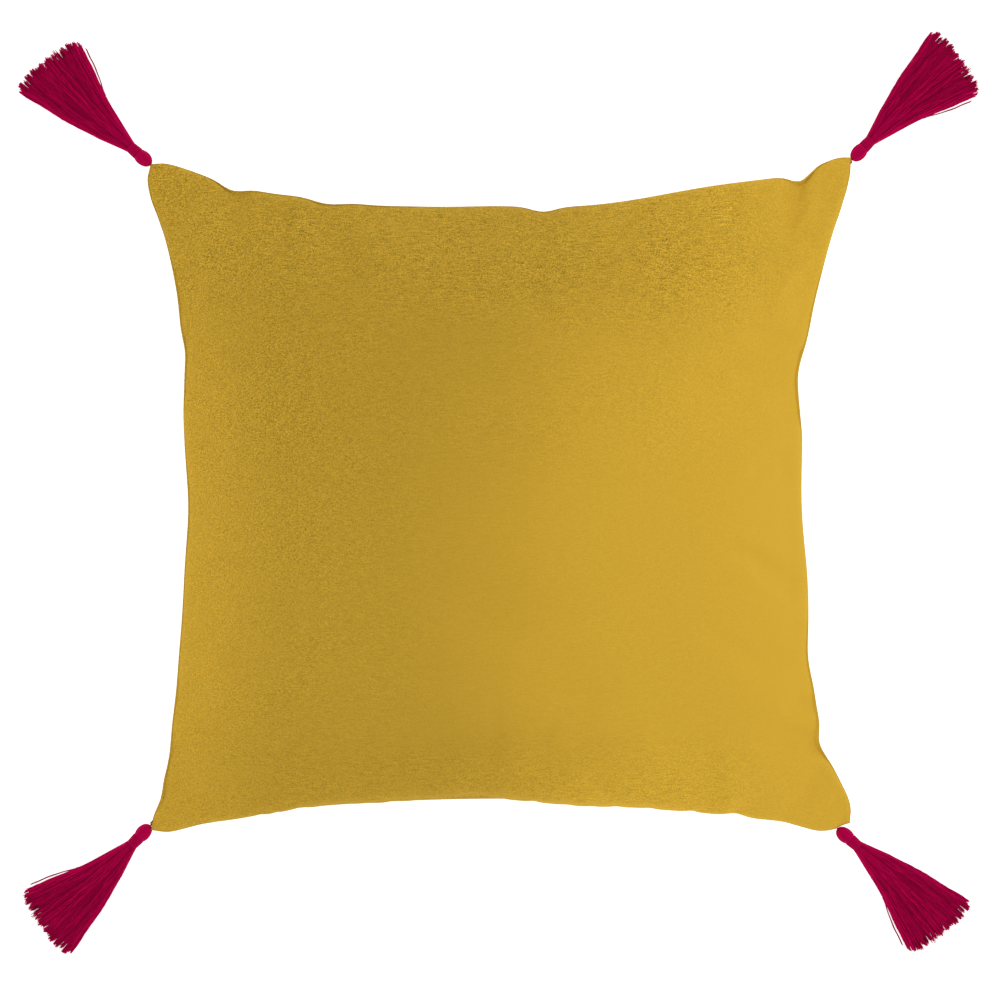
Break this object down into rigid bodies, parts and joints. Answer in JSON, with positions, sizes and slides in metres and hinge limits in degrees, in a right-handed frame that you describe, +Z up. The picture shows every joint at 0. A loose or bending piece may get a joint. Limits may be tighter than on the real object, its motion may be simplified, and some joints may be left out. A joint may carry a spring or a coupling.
{
  "type": "throw pillow",
  "caption": "Square velvet throw pillow lying on its back, with a zipped cover, a stuffed insert and a fanned yarn tassel swinging on a cord loop at each corner.",
  "frame": {"origin": "under the middle of the whole pillow, at the height of the surface it lies on", "axes": "+Z up out of the face, +Y towards the top edge, +X towards the right edge, and the zip is in the -Y seam"},
  "size_m": [0.5924, 0.5661, 0.135],
  "materials": {
    "velvet": "matte",
    "casing": "matte",
    "fibre": "matte",
    "zip_tape": "matte",
    "zip_coil": "satin",
    "zip_metal": "satin",
    "label": "matte",
    "thread": "matte",
    "yarn": "satin"
  },
  "bodies": {
    "cushion": {"cover_front": "velvet", "cover_back": "velvet", "insert_front": "casing", "insert_back": "casing", "filling": "fibre", "zip_tape_front": "zip_tape", "zip_tape_back": "zip_tape", "zip_coil_front": "zip_coil", "zip_coil_back": "zip_coil", "zip_top_stop": "zip_metal", "zip_bottom_stop": "zip_metal", "care_label": "label", "corner_tacks": "thread"},
    "zip_slider": {"zip_slider": "zip_metal"},
    "zip_pull": {"zip_pull": "zip_metal"},
    "top_right_loop": {"top_right_loop": "yarn"},
    "top_right_tassel": {"top_right_head": "yarn", "top_right_neck": "yarn", "top_right_skirt": "yarn"},
    "top_left_loop": {"top_left_loop": "yarn"},
    "top_left_tassel": {"top_left_head": "yarn", "top_left_neck": "yarn", "top_left_skirt": "yarn"},
    "bottom_left_loop": {"bottom_left_loop": "yarn"},
    "bottom_left_tassel": {"bottom_left_head": "yarn", "bottom_left_neck": "yarn", "bottom_left_skirt": "yarn"},
    "bottom_right_loop": {"bottom_right_loop": "yarn"},
    "bottom_right_tassel": {"bottom_right_head": "yarn", "bottom_right_neck": "yarn", "bottom_right_skirt": "yarn"}
  },
  "joints": [
    {"name": "zip_run", "type": "hinge", "parent": "cushion", "child": "zip_slider", "pos_m": [0, -1.54144, 0.05], "axis": [0, 0, 1], "range_deg": [0, 10.82]},
    {"name": "pull_swing", "type": "hinge", "parent": "zip_slider", "child": "zip_pull", "pos_m": [0.12769, -0.19333, 0.05], "axis": [-0.9955, 0.0943, 0], "range_deg": [0, 150]},
    {"name": "top_right_swing", "type": "hinge", "parent": "cushion", "child": "top_right_loop", "pos_m": [0.2132, 0.2037, 0.026], "axis": [0, 0, 1], "range_deg": [-35, 35]},
    {"name": "top_right_lift", "type": "hinge", "parent": "top_right_loop", "child": "top_right_tassel", "pos_m": [0.21512, 0.20546, 0.026], "axis": [0.6756, -0.7373, 0], "range_deg": [0, 60]},
    {"name": "top_left_swing", "type": "hinge", "parent": "cushion", "child": "top_left_loop", "pos_m": [-0.2122, 0.2006, 0.026], "axis": [0, 0, 1], "range_deg": [-35, 35]},
    {"name": "top_left_lift", "type": "hinge", "parent": "top_left_loop", "child": "top_left_tassel", "pos_m": [-0.21405, 0.20242, 0.026], "axis": [0.7009, 0.7133, 0], "range_deg": [0, 60]},
    {"name": "bottom_left_swing", "type": "hinge", "parent": "cushion", "child": "bottom_left_loop", "pos_m": [-0.2124, -0.2003, 0.026], "axis": [0, 0, 1], "range_deg": [-35, 35]},
    {"name": "bottom_left_lift", "type": "hinge", "parent": "bottom_left_loop", "child": "bottom_left_tassel", "pos_m": [-0.21432, -0.20206, 0.026], "axis": [-0.6756, 0.7373, 0], "range_deg": [0, 60]},
    {"name": "bottom_right_swing", "type": "hinge", "parent": "cushion", "child": "bottom_right_loop", "pos_m": [0.2044, -0.2021, 0.026], "axis": [0, 0, 1], "range_deg": [-35, 10]},
    {"name": "bottom_right_lift", "type": "hinge", "parent": "bottom_right_loop", "child": "bottom_right_tassel", "pos_m": [0.20625, -0.20392, 0.026], "axis": [-0.7009, -0.7133, 0], "range_deg": [0, 60]}
  ]
}
